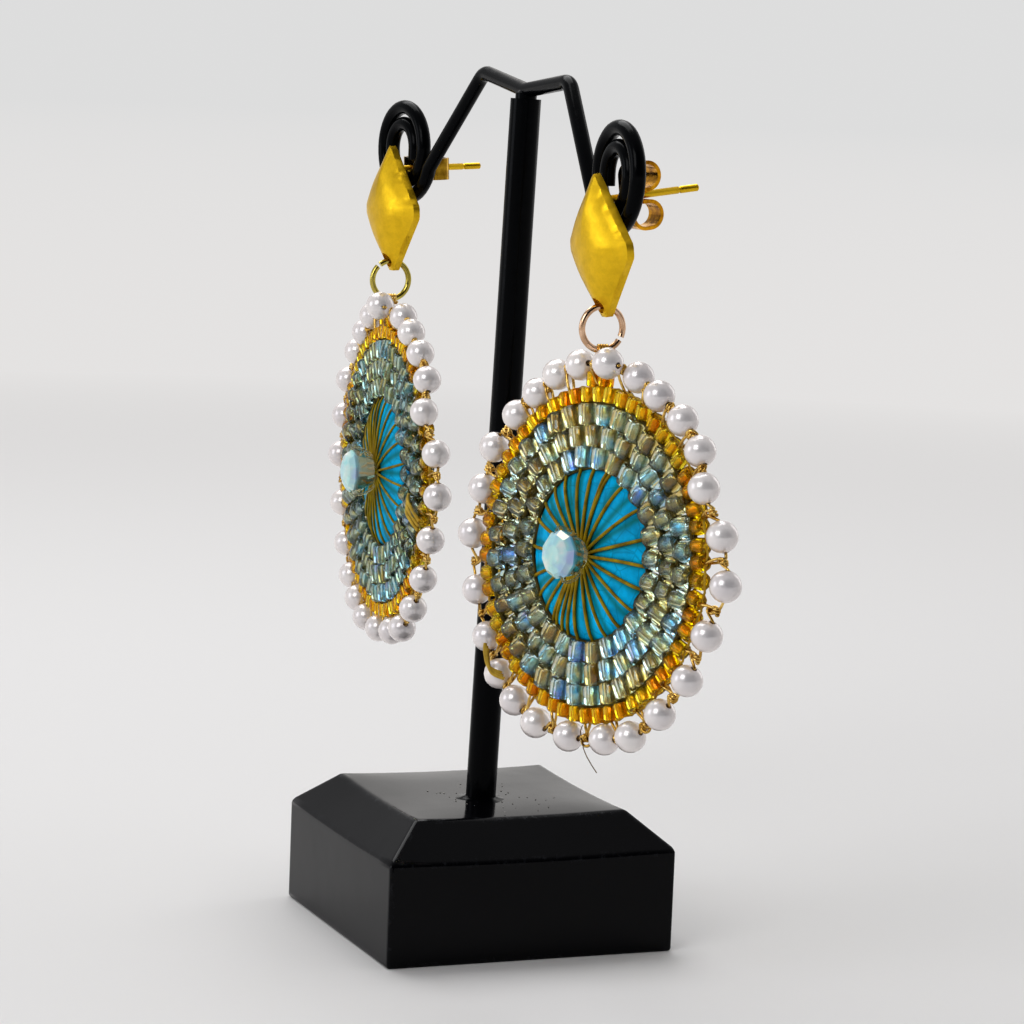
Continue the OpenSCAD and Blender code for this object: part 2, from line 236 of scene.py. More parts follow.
def middle(node):
    low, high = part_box(node)
    return (Vector(low) + Vector(high)) / 2


def on_drop(side):
    return (Matrix.Translation(middle(f"turquoise_disc_{side}"))
            @ Matrix.Rotation(math.radians(DROP_YAW[side]), 4, "Z")
            @ Matrix.Rotation(math.radians(DROP_LEAN[side]), 4, "X"))


def on_stud(side):
    return (Matrix.Translation(Vector(STUD[side]) * MM)
            @ Matrix.Rotation(math.radians(STUD_YAW[side]), 4, "Z")
            @ Matrix.Rotation(math.radians(STUD_TILT[side]), 4, "X"))


def round_drop(angle, radius, forward=0.0):
    """Point of the medallion by its angle clockwise from the top."""
    a = math.radians(angle)
    return Vector((radius * math.sin(a), -forward, radius * math.cos(a)))


# Materials
def plain_finish(name, colour, metallic=0.0, roughness=0.4, **sockets):
    material = bpy.data.materials.new(name)
    material.use_nodes = True
    shader = material.node_tree.nodes["Principled BSDF"]
    shader.inputs["Base Color"].default_value = (*colour, 1)
    shader.inputs["Metallic"].default_value = metallic
    shader.inputs["Roughness"].default_value = roughness
    for key, value in sockets.items():
        shader.inputs[key.replace("_", " ").title().replace("Ior", "IOR")].default_value = value
    return material, shader


def node(material, kind, **settings):
    made = material.node_tree.nodes.new(kind)
    for key, value in settings.items():
        setattr(made, key, value)
    return made


def join(material, out, into):
    material.node_tree.links.new(out, into)


def noise(material, scale, detail=3.0, roughness=0.5, stretch=None):
    where = node(material, "ShaderNodeTexCoord").outputs["Object"]
    if stretch:
        mapping = node(material, "ShaderNodeMapping")
        mapping.inputs["Scale"].default_value = stretch
        join(material, where, mapping.inputs["Vector"])
        where = mapping.outputs["Vector"]
    texture = node(material, "ShaderNodeTexNoise")
    texture.inputs["Scale"].default_value = scale
    texture.inputs["Detail"].default_value = detail
    texture.inputs["Roughness"].default_value = roughness
    join(material, where, texture.inputs["Vector"])
    return texture.outputs["Fac"]


def own(material, name):
    return node(material, "ShaderNodeAttribute", attribute_name=name).outputs["Fac"]


def ramp(material, factor, *stops):
    made = node(material, "ShaderNodeValToRGB")
    points = made.color_ramp.elements
    while len(points) < len(stops):
        points.new(0.5)
    for point, (position, colour) in zip(points, stops):
        point.position = position
        point.color = (*colour, 1)
    join(material, factor, made.inputs["Fac"])
    return made.outputs["Color"]


def spread(material, factor, low, high, from_low=0.3, from_high=0.7, kind="LINEAR"):
    made = node(material, "ShaderNodeMapRange", interpolation_type=kind)
    for key, value in (("From Min", from_low), ("From Max", from_high), ("To Min", low), ("To Max", high)):
        made.inputs[key].default_value = value
    join(material, factor, made.inputs["Value"])
    return made.outputs["Result"]


def blended(material, factor, first, second, kind="MIX"):
    made = node(material, "ShaderNodeMix", data_type="RGBA", blend_type=kind)
    for socket, value in ((made.inputs[0], factor), (made.inputs[6], first), (made.inputs[7], second)):
        if isinstance(value, bpy.types.NodeSocket):
            join(material, value, socket)
        elif isinstance(value, tuple):
            socket.default_value = (*value, 1)
        else:
            socket.default_value = value
    return made.outputs[2]


def bumped(material, shader, height, strength, distance):
    made = node(material, "ShaderNodeBump")
    made.inputs["Strength"].default_value = strength
    made.inputs["Distance"].default_value = distance * MM
    join(material, height, made.inputs["Height"])
    join(material, made.outputs["Normal"], shader.inputs["Normal"])


def lets_light_in(material, shader, tint):
    """Lamps shine through this glass on what is inside it."""
    clear = node(material, "ShaderNodeBsdfTransparent")
    clear.inputs["Color"].default_value = (*tint, 1)
    mix = node(material, "ShaderNodeMixShader")
    join(material, node(material, "ShaderNodeLightPath").outputs["Is Shadow Ray"], mix.inputs[0])
    join(material, shader.outputs[0], mix.inputs[1])
    join(material, clear.outputs[0], mix.inputs[2])
    join(material, mix.outputs[0], material.node_tree.nodes["Material Output"].inputs["Surface"])


def polished_black():
    material, shader = plain_finish("polished_black_plastic", (0.0015, 0.0015, 0.0025), roughness=0.1,
                                    specular_ior_level=0.17)
    scuff = node(material, "ShaderNodeMath", operation="MULTIPLY")
    join(material, own(material, "worn"), scuff.inputs[0])
    join(material, spread(material, noise(material, 900, 5, 0.7), 0, 1, 0.52, 0.85), scuff.inputs[1])
    join(material, blended(material, scuff.outputs[0], (0.002, 0.002, 0.003), (0.03, 0.032, 0.038)),
         shader.inputs["Base Color"])
    gloss = spread(material, noise(material, 220, 4), 0.05, 0.18)
    join(material, blended(material, scuff.outputs[0], gloss, (0.45, 0.45, 0.45)), shader.inputs["Roughness"])
    bumped(material, shader, noise(material, 55, 3), 0.13, 0.6)
    return material


def satin_black():
    material, shader = plain_finish("satin_black_enamel", (0.001, 0.0014, 0.0022), roughness=0.18,
                                    specular_ior_level=0.08)
    join(material, spread(material, noise(material, 900, 3), 0.12, 0.24), shader.inputs["Roughness"])
    bumped(material, shader, noise(material, 1500, 3), 0.12, 0.04)
    return material


def satin_gold():
    material, shader = plain_finish("satin_gold_plate", (0.88, 0.55, 0.04), 1.0, 0.36)
    tone = ramp(material, noise(material, 600, 6, 0.75), (0.3, (0.7, 0.45, 0.02)), (0.7, (0.9, 0.59, 0.03)))
    join(material, tone, shader.inputs["Base Color"])
    join(material, spread(material, noise(material, 900, 5, 0.7), 0.28, 0.46), shader.inputs["Roughness"])
    bumped(material, shader, noise(material, 1500, 5, 0.7), 0.3, 0.05)
    return material


def bright_gold(name, colour, dark, roughness=0.2):
    material, shader = plain_finish(name, colour, 1.0, roughness)
    tone = ramp(material, noise(material, 700, 3), (0.35, dark), (0.65, colour))
    join(material, tone, shader.inputs["Base Color"])
    join(material, spread(material, noise(material, 900, 3), roughness - 0.08, roughness + 0.1),
         shader.inputs["Roughness"])
    return material


def turquoise_stone():
    material, shader = plain_finish("turquoise_disc", (0, 0.4, 0.7), roughness=0.38, specular_ior_level=0.08)
    body = ramp(material, noise(material, 260, 4, 0.6), (0.32, (0.0, 0.28, 0.5)), (0.66, (0.0, 0.56, 1.0)))
    cells = node(material, "ShaderNodeTexVoronoi", feature="DISTANCE_TO_EDGE")
    cells.inputs["Scale"].default_value = 420
    join(material, node(material, "ShaderNodeTexCoord").outputs["Object"], cells.inputs["Vector"])
    vein = spread(material, cells.outputs["Distance"], 0.4, 0.0, 0.0, 0.05)
    veined = blended(material, vein, body, (0.0, 0.12, 0.2))
    # Painted shade: darker teal beside the threads and round the hole.
    shaded = blended(material, own(material, "painted_thread_shade"), veined, (0.005, 0.15, 0.1))
    join(material, shaded, shader.inputs["Base Color"])
    bumped(material, shader, noise(material, 500, 4), 0.12, 0.1)
    return material


def thread_finish(name, dark, pale):
    material, shader = plain_finish(name, pale, roughness=0.45, specular_ior_level=0.14)
    tone = ramp(material, noise(material, 600, 4), (0.3, dark), (0.7, pale))
    join(material, tone, shader.inputs["Base Color"])
    bumped(material, shader, noise(material, 2600, 2), 0.5, 0.08)
    return material


def clear_thread():
    material, shader = plain_finish("clear_nylon_thread", (0.85, 0.82, 0.7), roughness=0.15, ior=1.3,
                                    transmission_weight=0.95)
    bumped(material, shader, noise(material, 1200, 2), 0.2, 0.05)
    lets_light_in(material, shader, (0.9, 0.9, 0.85))
    return material


def edge_shade_painted(material, shader, middle, edge, blend=0.35):
    """Painted shade: glass beads are painted dark towards their edges as seen from the camera, standing in
    for the thread and shade seen through them.
    """
    rim = node(material, "ShaderNodeLayerWeight")
    rim.inputs["Blend"].default_value = blend
    where = spread(material, rim.outputs["Facing"], 0, 1, 0.25, 0.85)
    join(material, blended(material, where, middle, edge), shader.inputs["Base Color"])


def aqua_glass(side):
    """Glass with a rainbow film, whose thickness is each bead's own."""
    material, shader = plain_finish(f"aqua_seed_glass_{side}", (0.8, 0.95, 0.97), roughness=0.04, ior=1.5,
                                    transmission_weight=0.95, specular_ior_level=0.55)
    shader.inputs["Specular Tint"].default_value = (0.72, 0.93, 1.0, 1)
    flash = spread(material, noise(material, 640, 2), 0, 1, 0.38, 0.62)
    mixed = blended(material, 0.5, own(material, "tone"), flash)
    tone = ramp(material, mixed, (0.0, (0.74, 0.5, 0.1)), (0.35, (0.85, 0.72, 0.32)),
                (0.56, (0.86, 0.92, 0.8)), (0.74, (0.7, 0.93, 1.0)), (0.86, (0.32, 0.74, 1.0)),
                (0.97, (0.62, 0.58, 1.0)))
    # Painted shade: the left earring's beads are painted darker than the right's, for the lesser light on
    # them.
    shade = {"left": (0.66, 0.73, 0.68), "right": (1.0, 1.0, 1.0)}[side]
    # Painted shade towards each aqua bead's edges.
    edge_shade_painted(material, shader, blended(material, 1.0, tone, shade, "MULTIPLY"), (0.09, 0.055, 0.002), 0.46)
    film = spread(material, own(material, "tone"), 216, 182, 0, 1)
    join(material, film, shader.inputs["Thin Film Thickness"])
    shader.inputs["Thin Film IOR"].default_value = 1.57
    lets_light_in(material, shader, (0.8, 0.9, 0.9))
    return material


def bead_lining(side):
    material, shader = plain_finish(f"bronze_bead_lining_{side}", (0.3, 0.22, 0.06), 0.85, 0.14)
    tone = ramp(material, own(material, "tone"), (0.0, (0.3, 0.19, 0.04)), (0.4, (0.56, 0.5, 0.34)),
                (0.75, (0.66, 0.7, 0.66)), (0.93, (0.25, 0.52, 0.7)), (1.0, (0.45, 0.42, 0.8)))
    # Painted shade: the left earring's linings are painted darker than the right's, on top of their random
    # worn patches.
    pale = {"left": (0.5, 0.5, 0.46), "right": (0.86, 0.9, 0.86)}[side]
    worn = ramp(material, noise(material, 900, 3), (0.35, (0.1, 0.1, 0.1)), (0.65, pale))
    join(material, blended(material, 0.6, tone, worn, "MULTIPLY"), shader.inputs["Base Color"])
    return material


def gold_glass():
    material, shader = plain_finish("gold_seed_glass", (1, 0.66, 0.05), roughness=0.05, ior=1.5,
                                    transmission_weight=0.9, specular_ior_level=0.6)
    shader.inputs["Specular Tint"].default_value = (1.0, 0.8, 0.25, 1)
    tone = ramp(material, own(material, "tone"), (0.0, (0.95, 0.52, 0.0)), (0.6, (1, 0.66, 0.01)),
                (1.0, (1, 0.82, 0.06)))
    # Painted shade towards each gold bead's edges.
    edge_shade_painted(material, shader, tone, (0.2, 0.07, 0.0), 0.4)
    lets_light_in(material, shader, (1, 0.74, 0.1))
    return material


def gold_lining():
    material, shader = plain_finish("bright_bead_lining", (0.98, 0.78, 0.2), 1.0, 0.2)
    tone = ramp(material, own(material, "tone"), (0.0, (0.66, 0.38, 0.006)), (1.0, (0.88, 0.66, 0.06)))
    worn = ramp(material, noise(material, 1100, 3), (0.35, (0.45, 0.4, 0.3)), (0.6, (1.0, 1.0, 1.0)))
    join(material, blended(material, 0.7, tone, worn, "MULTIPLY"), shader.inputs["Base Color"])
    return material


def grey_dust():
    material, shader = plain_finish("grey_dust", (0.3, 0.29, 0.27), roughness=0.9)
    tone = ramp(material, noise(material, 2500, 3), (0.3, (0.16, 0.15, 0.14)), (0.7, (0.42, 0.4, 0.37)))
    join(material, tone, shader.inputs["Base Color"])
    return material


def pearl_finish():
    material, shader = plain_finish("pearl_glass", (0.9, 0.86, 0.85), 0.28, 0.26, coat_weight=1.0,
                                    coat_roughness=0.16)
    tone = ramp(material, own(material, "tone"), (0.0, (0.8, 0.77, 0.78)), (1.0, (0.89, 0.86, 0.85)))
    # Painted sheen: the colour turns warm towards each pearl's rim as seen from the camera.
    edge = node(material, "ShaderNodeLayerWeight")
    edge.inputs["Blend"].default_value = 0.4
    rim_sheen = blended(material, edge.outputs["Facing"], tone, (0.98, 0.88, 0.83))
    cloud = ramp(material, noise(material, 420, 3), (0.3, (0.93, 0.92, 0.93)), (0.7, (1.0, 1.0, 1.0)))
    join(material, blended(material, 1.0, rim_sheen, cloud, "MULTIPLY"), shader.inputs["Base Color"])
    bumped(material, shader, noise(material, 700, 2), 0.06, 0.05)
    return material


def crystal_glass(side):
    """Painted light: pale and bright in front, standing in for light on the facets, and painted brown and
    clear behind, standing in for the shade and threads seen through it.
    """
    material, shader = plain_finish(f"crystal_ab_{side}", (0.8, 0.96, 0.97), roughness=0.04, ior=1.5,
                                    transmission_weight=0.5, coat_weight=1.0, coat_roughness=0.02)
    box = [Vector(corner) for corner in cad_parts[f"crystal_bead_{side}"].bound_box]
    centre = sum(box, Vector()) / 8
    ahead = on_drop(side).to_3x3() @ Vector((0, -1, 0))
    dot = node(material, "ShaderNodeVectorMath", operation="DOT_PRODUCT")
    join(material, node(material, "ShaderNodeTexCoord").outputs["Object"], dot.inputs[0])
    dot.inputs[1].default_value = ahead
    middle = centre.dot(ahead)
    front = spread(material, dot.outputs["Value"], 0, 1, middle + 0.2 * MM, middle + 0.9 * MM)
    tint = ramp(material, noise(material, 330, 2), (0.3, (0.28, 0.62, 1.0)), (0.5, (0.44, 0.92, 1.0)),
                (0.7, (0.86, 0.98, 1.0)))
    # Painted highlight in front and painted shade behind.
    join(material, blended(material, front, (0.42, 0.36, 0.22), tint), shader.inputs["Base Color"])
    join(material, spread(material, front, 0.95, 0.12, 0, 1), shader.inputs["Transmission Weight"])
    shader.inputs["Thin Film Thickness"].default_value = 260
    shader.inputs["Thin Film IOR"].default_value = 1.9
    lets_light_in(material, shader, (0.9, 0.96, 0.97))
    return material


# Stand
def stand_base():
    """Moulded block with worn edges that sink a little between the corners."""
    sink = 0.32
    bm = bmesh.new()
    bmesh.ops.create_cube(bm, size=1, matrix=Matrix.Translation((0, 0, BASE_SIDE_H / 2 * MM))
                          @ Matrix.Diagonal((2 * BASE_HALF * MM, 2 * BASE_HALF * MM, BASE_SIDE_H * MM, 1)))
    lid = max(bm.faces, key=lambda f: f.calc_center_median().z)
    raised = bmesh.ops.extrude_face_region(bm, geom=[lid])["geom"]
    bmesh.ops.delete(bm, geom=[lid], context="FACES_ONLY")
    top_verts = [g for g in raised if isinstance(g, bmesh.types.BMVert)]
    share = (BASE_HALF - BASE_SLOPE) / BASE_HALF
    bmesh.ops.transform(bm, verts=top_verts, matrix=Matrix.Translation((0, 0, (BASE_H - BASE_SIDE_H) * MM))
                        @ Matrix.Diagonal((share, share, 1, 1)))
    bmesh.ops.bevel(bm, geom=list(bm.edges), offset=0.42 * MM, offset_type="OFFSET", segments=4, profile=0.5,
                    affect="EDGES", material=-1)
    layer = bm.verts.layers.float.new("worn")
    for v in bm.verts:
        v[layer] = 1
    broad = [f for f in bm.faces if f.calc_area() > (10 * MM) ** 2]
    bmesh.ops.inset_individual(bm, faces=broad, thickness=0.35 * MM, use_even_offset=True)
    inner = {v for f in broad if f.is_valid for v in f.verts}
    for v in inner:
        v[layer] = 0
    long_edges = [e for e in bm.edges if e.calc_length() > 6 * MM]
    bmesh.ops.subdivide_edges(bm, edges=long_edges, cuts=9, use_grid_fill=True)
    for v in bm.verts:
        wide, narrow = max(abs(v.co.x), abs(v.co.y)), min(abs(v.co.x), abs(v.co.y))
        share_up = min(v.co.z / (BASE_SIDE_H * MM), 1) ** 3
        on_lid = v.co.z > (BASE_H - 0.3) * MM
        near_edge = min(wide / ((BASE_HALF - BASE_SLOPE) * MM), 1) ** 4 if on_lid else share_up
        v.co.z -= sink * MM * near_edge * (1 - (narrow / max(wide, MM)) ** 2)
    soften(bm, 20)
    return collect("stand_block", bm)


def foot_collar():
    """Lumpy rim of cement round the foot of the post."""
    rng = random.Random("collar")
    bm = turned([(2.0, 0.0), (2.05, 0.3), (2.2, 0.25), (2.45, 0.16), (2.8, 0.08), (3.3, 0.0)], 48, angle=80)
    for v in bm.verts:
        r = math.hypot(v.co.x, v.co.y) / MM
        way = math.atan2(v.co.y, v.co.x)
        lump = 0.5 * math.sin(3 * way + 0.6) + 0.3 * math.sin(7 * way) + rng.uniform(-0.05, 0.05)
        v.co.z = (v.co.z / MM * (1 + 0.5 * lump) - 0.02) * MM
        if r > 2.3:
            v.co.xy *= 1 + 0.12 * lump
    bmesh.ops.translate(bm, verts=bm.verts, vec=Vector((*POST_FOOT, BASE_H)) * MM)
    return collect("foot_collar", bm)


def dust():
    """Specks on the lid, off its edge and off the post's rim of cement."""
    rng = random.Random("dust")
    lid_half, rim_r = 14, 3.4
    bm = bmesh.new()
    for _ in range(46):
        away = Vector((rng.gauss(0, 1), rng.gauss(0, 1))) * 5
        x, y = Vector(POST_FOOT) + away
        if max(abs(x), abs(y)) > lid_half or away.length < rim_r:
            continue
        bmesh.ops.create_icosphere(bm, subdivisions=1, radius=rng.uniform(0.05, 0.13) * MM,
                                   matrix=Matrix.Translation((x * MM, y * MM, (BASE_H + 0.03) * MM))
                                   @ Matrix.Diagonal((rng.uniform(0.6, 2), 1, 0.5, 1)))
    return collect("dust", bm)


def half_turn(x, r, start, end):
    angles = [math.radians(a) for a in range(start, end + 1, 8)]
    return [(x + r * math.cos(a), 0, r * math.sin(a)) for a in angles]


def arm_line(side):
    """One arm of the stand's wire: the bend at its peak, and then its spiral from the outside in."""
    shift, step = SPIRAL_PITCH / 4, SPIRAL_PITCH / 2
    inner = SPIRAL_R - 3 * step
    coil = (half_turn(-shift, SPIRAL_R, 200, 352) + half_turn(shift, SPIRAL_R - step, 0, 176)
            + half_turn(-shift, SPIRAL_R - 2 * step, 180, 356) + half_turn(shift, inner, 0, 180)
            + [(shift - inner, 0, 0), (shift - inner, 0, -SPIRAL_TAIL)])
    turn = Matrix.Rotation(math.radians(SPIRAL_YAW[side]), 3, "Z")
    seat = Vector((EARRING_X[side], SPIRAL_Y[side], SPIRAL_Z))
    coil = [seat + turn @ Vector((OUTWARD[side] * x, y, z)) for x, y, z in coil]
    peak = Vector(PEAK[side])
    to_fork = (Vector(FORK) - peak).normalized() * PEAK_BEND
    to_coil = (coil[0] - peak).normalized() * PEAK_BEND
    bend = [peak + (1 - t) ** 2 * to_fork + t * t * to_coil for t in [k / 10 for k in range(11)]]
    return bend + coil


def stand_wire():
    line = arm_line("left")[::-1] + [Vector(FORK)] + arm_line("right")
    return strands("bent_wire", [line], WIRE_R, sides=6)


def wire_stem():
    """The two arms' common stem, down in the mouth of the tube."""
    bm = turned([(0, -7), (1.25, -7), (1.4, -6.8), (1.4, 0.75), (1.1, 1.1), (0, 1.2)], 28)
    bmesh.ops.transform(bm, matrix=Matrix.Translation(Vector(POST_MOUTH) * MM)
                        @ Matrix.Rotation(math.radians(-POST_LEAN), 4, "X"), verts=bm.verts)
    return collect("wire_stem", bm)


# Studs
def rhombus_point(angle):
    """Point of the plate's outline, whose corners are cut off."""
    c, s = math.cos(angle), math.sin(angle)
    reach = 1 / (abs(c) * 2 / PLATE_W + abs(s) * 2 / PLATE_H)
    side, foot, tip = PLATE_W / 2 - CORNER_CUT, PLATE_H / 2 - CORNER_CUT, PLATE_H / 2 - TIP_CUT
    return min(max(c * reach, -side), side), min(max(s * reach, -foot), tip)


def stud_plate(side):
    """Pillow of sheet gold: a flat band round its edge, nicked on one side, and ridges that fade inwards."""
    rng = random.Random(f"plate {side}")
    bm = bmesh.new()
    sides = 96
    outline = [rhombus_point(math.tau * (k + 0.001) / sides) for k in range(sides)]
    ring = [bm.verts.new((x * MM, 0, z * MM)) for x, z in outline]
    edges = [bm.edges.new((ring[k], ring[(k + 1) % sides])) for k in range(sides)]
    bmesh.ops.contextual_create(bm, geom=edges)

    def way(x, z):
        return round(math.atan2(z, x), 3)

    edge_at = {way(x, z): math.hypot(x, z) for x, z in outline}
    nick = {t: rng.choice((0, 0, 0.016, 0.03)) if 0.25 < t < 1.45 else rng.uniform(0, 0.003) for t in edge_at}
    levels = [(1, -PLATE_EDGE + 0.16), (0.975, -PLATE_EDGE)]
    for k in range(1, 15):
        share = 1 - (k / 14) ** 1.25 * 0.97
        levels.append((share * 0.975, -PLATE_EDGE - PLATE_DOME * (1 - share ** 2.5)))
    for share, y in levels:
        grown = bmesh.ops.extrude_edge_only(bm, edges=edges)["geom"]
        edges = [g for g in grown if isinstance(g, bmesh.types.BMEdge)]
        fade = 0.9 * (1 - share) ** 0.7
        for v in (g for g in grown if isinstance(g, bmesh.types.BMVert)):
            t = way(v.co.x, v.co.z)
            if t not in edge_at:
                t = min(edge_at, key=lambda e: abs(e - t))
            oval = 0.76 / math.hypot(math.cos(t) * 2 / PLATE_W, math.sin(t) * 2 / PLATE_H)
            reach = share * ((1 - fade) * edge_at[t] + fade * oval) * (1 - nick[t] * (share > 0.93))
            v.co = Vector((reach * math.cos(t) * MM, y * MM, reach * math.sin(t) * MM))
    bmesh.ops.contextual_create(bm, geom=edges)
    bmesh.ops.translate(bm, verts=bm.verts, vec=(0, 0, (POST_FROM_TIP - PLATE_H / 2) * MM))
    bmesh.ops.recalc_face_normals(bm, faces=bm.faces)
    soften(bm, 40)
    bmesh.ops.transform(bm, matrix=on_stud(side), verts=bm.verts)
    return collect(f"stud_pillow_{side}", bm)


def drill(piece, side):
    """Cuts the stud's hole with a boolean, whose result is applied."""
    hole_z = POST_FROM_TIP - PLATE_H + PLATE_HOLE_UP
    bm = bmesh.new()
    hole_r = PLATE_HOLE_D / 2 * MM
    bmesh.ops.create_cone(bm, cap_ends=True, segments=28, radius1=hole_r, radius2=hole_r, depth=8 * MM,
                          matrix=on_stud(side) @ Matrix.Translation((0, -1.5 * MM, hole_z * MM))
                          @ Matrix.Rotation(math.pi / 2, 4, "X"))
    cutter = collect("cutter", bm)
    cut = piece.modifiers.new("hole", "BOOLEAN")
    cut.operation = "DIFFERENCE"
    cut.solver = "EXACT"
    cut.object = cutter
    mesh = bpy.data.meshes.new_from_object(piece.evaluated_get(bpy.context.evaluated_depsgraph_get()))
    piece.modifiers.clear()
    piece.data = mesh
    bpy.data.objects.remove(cutter)
    return piece


def ear_post(side):
    """Pin with a groove near its end."""
    root, end, r = -PLATE_EDGE / 2, EAR_POST_LEN, EAR_POST_D / 2
    groove = end - 2.6
    bm = turned([(0, root), (r, root), (r, groove - 0.2), (r - 0.13, groove), (r, groove + 0.2),
                 (r, end - 0.12), (r - 0.12, end), (0, end)], 24)
    bmesh.ops.transform(bm, matrix=on_stud(side) @ Matrix.Rotation(-math.pi / 2, 4, "X"), verts=bm.verts)
    return collect(f"ear_post_{side}", bm)


# Medallion
def disc_height(r):
    """Half the disc's thickness at a radius."""
    share = r / DISC_R
    for (a, ha), (b, hb) in zip(DISC_PROFILE, DISC_PROFILE[1:]):
        if share <= b:
            t = max(0, (share - a) / (b - a))
            t = t * t * (3 - 2 * t) * 0.35 + t * 0.65
            return DISC_HALF * (ha + (hb - ha) * t)
    return DISC_HALF * DISC_PROFILE[-1][1]


def turquoise_disc(side):
    """Lens of stone, sunk a little under each thread, with painted shade beside each thread and round its
    hole.
    """
    radii = [HOLE_R + (DISC_R - HOLE_R) * (k / 22) ** 0.9 for k in range(23)]
    front = [(r, disc_height(r)) for r in radii]
    bm = turned(front + [(r, -h) for r, h in reversed(front)], 216, closed=True, angle=60)
    # Painted shade: how near each point is to a thread or to the hole.
    layer = bm.verts.layers.float.new("painted_thread_shade")
    for v in bm.verts:
        angle = math.degrees(math.atan2(v.co.x, -v.co.y)) % 360
        r = math.hypot(v.co.x, v.co.y) / MM
        gap = min(abs((angle - w + 180) % 360 - 180) for w in WINDINGS[side]) * math.pi / 180 * r
        near = math.exp(-(gap / 0.45) ** 2)
        v[layer] = min(1, 0.75 * near + max(0, 0.9 - (r - HOLE_R) / 1.6))
        if r < DISC_R - 0.2:
            v.co.z *= 1 - 0.05 * near
    to_face = Matrix.Rotation(math.pi / 2, 4, "X")
    bmesh.ops.transform(bm, matrix=on_drop(side) @ to_face, verts=bm.verts)
    return collect(f"turquoise_round_{side}", bm)


def windings(side):
    """Threads from the disc's hole over its rim, and back behind it."""
    rng = random.Random(f"windings {side}")
    lines = []
    for angle in WINDINGS[side]:
        sway, pile, lean = rng.uniform(-6, 6), rng.uniform(0.02, 0.3), rng.uniform(-1.5, 1.5)
        front = [(0.85, 0.9), (1.05, DISC_HALF * 0.78 + pile)]
        front += [(r, disc_height(r) + 0.15 + pile * math.exp(-(r - HOLE_R) / 1.4))
                  for r in (1.7, 2.6, 3.8, 5.2, 6.8, 8.4, 9.6, 10.3)] + [(10.62, 0.3)]
        line = []
        for flip in (1, -1):
            part = [round_drop(angle + sway * math.exp(-r / 2.5) * flip + lean * math.sin(r / 3.2),
                               r, flip * h) for r, h in front]
            line += part if flip == 1 else part[::-1]
        lines.append(eased(line, 3, looped=True))
    return strands(f"windings_{side}", lines, WINDING_R[side], on_drop(side), looped=True, sides=1)


def bead_places(side, rng, radius, count, jitter, start=0.0, angles=None):
    """Place, size and tone of each bead of a row, none of them quite straight."""
    places = []
    for k in range(count):
        a = math.radians(angles[k] if angles else start + 360 * k / count + rng.uniform(-0.6, 0.6))
        centre = Vector((radius * math.sin(a), rng.uniform(-jitter, jitter), radius * math.cos(a))) * MM
        tip = (Matrix.Rotation(math.radians(rng.uniform(-9, 9)), 4, "X")
               @ Matrix.Rotation(math.radians(rng.uniform(-6, 6)), 4, "Y")
               @ Matrix.Rotation(rng.uniform(0, math.tau), 4, "Z"))
        size = Matrix.Diagonal((*[rng.uniform(0.97, 1.06)] * 2, rng.uniform(0.94, 1.05), 1))
        places.append((on_drop(side) @ Matrix.Translation(centre) @ Matrix.Rotation(a, 4, "Y") @ tip @ size,
                       rng.random()))
    return places


def bead(radius, length, bore, rounding, steps=12):
    """Drilled seed bead with rounded ends."""
    end = length / 2
    half = [(bore, end - 0.04), (radius - rounding, end), (radius - rounding * 0.28, end - rounding * 0.3),
            (radius, end - rounding)]
    return turned(half + [(r, -z) for r, z in reversed(half)], steps, closed=True, angle=50)


def lining(radius, length, steps=8):
    """Metal core that fills a bead's bore."""
    end = length / 2
    return turned([(0, end), (radius * 0.8, end - 0.03), (radius, end - 0.15), (radius, 0.15 - end),
                   (radius * 0.8, 0.03 - end), (0, -end)], steps, angle=50)


def aqua_rows(side):
    rng = random.Random(f"aqua {side}")
    places = []
    for radius, count, start in AQUA_ROWS:
        places += bead_places(side, rng, radius, count, 0.2, start)
    return (strung(bead(1.45, 2.62, 0.7, 0.32), places, f"aqua_glass_{side}"),
            strung(lining(0.6, 2.5), places, f"aqua_lining_{side}"))


def row_stitches(side):
    """Two uneven threads in each joint between two rows of beads, and round the disc."""
    rng = random.Random(f"stitches {side}")
    lines = []
    for radius, turns in STITCH_ROWS:
        for forward in (-0.3, 0.3):
            line = [round_drop(360 * k / turns, radius + rng.uniform(-0.12, 0.12),
                               forward + rng.uniform(-0.2, 0.2)) for k in range(turns)]
            lines.append(eased(line, 2, looped=True))
    return strands(f"row_stitches_{side}", lines, STITCH_R, on_drop(side), looped=True, sides=1)


def gold_row(side):
    """The row of gold beads, and the two that stand on it under the jump ring."""
    rng = random.Random(f"gold {side}")
    radius, count, start = GOLD_ROW
    places = bead_places(side, rng, radius, count, 0.06, start)
    places += bead_places(side, rng, 21.5, 2, 0.05, angles=(RING_THREADS[0][0], RING_THREADS[-1][0]))
    return (strung(bead(1.06, 1.88, 0.5, 0.22, 10), places, f"gold_glass_{side}"),
            strung(lining(0.48, 1.8), places, f"gold_lining_{side}"))


def edge_thread(side):
    """Thread round the gold row, from bead to bead."""
    rng = random.Random(f"edge {side}")
    _, count, start = GOLD_ROW
    line = []
    for k in range(count):
        line += [round_drop(start + 360 * k / count, 20.4, rng.uniform(-0.1, 0.1)),
                 round_drop(start + 360 * (k + 0.5) / count, 20.66, rng.uniform(-0.2, 0.2))]
    return strands(f"edge_thread_{side}", [eased(line, 2, looped=True)], EDGE_THREAD_R, on_drop(side),
                   looped=True, sides=1)


def pearl_at(i):
    angle, radius, forward = PEARL_PLACES[i % len(PEARL_PLACES)]
    return round_drop(angle, radius, forward)


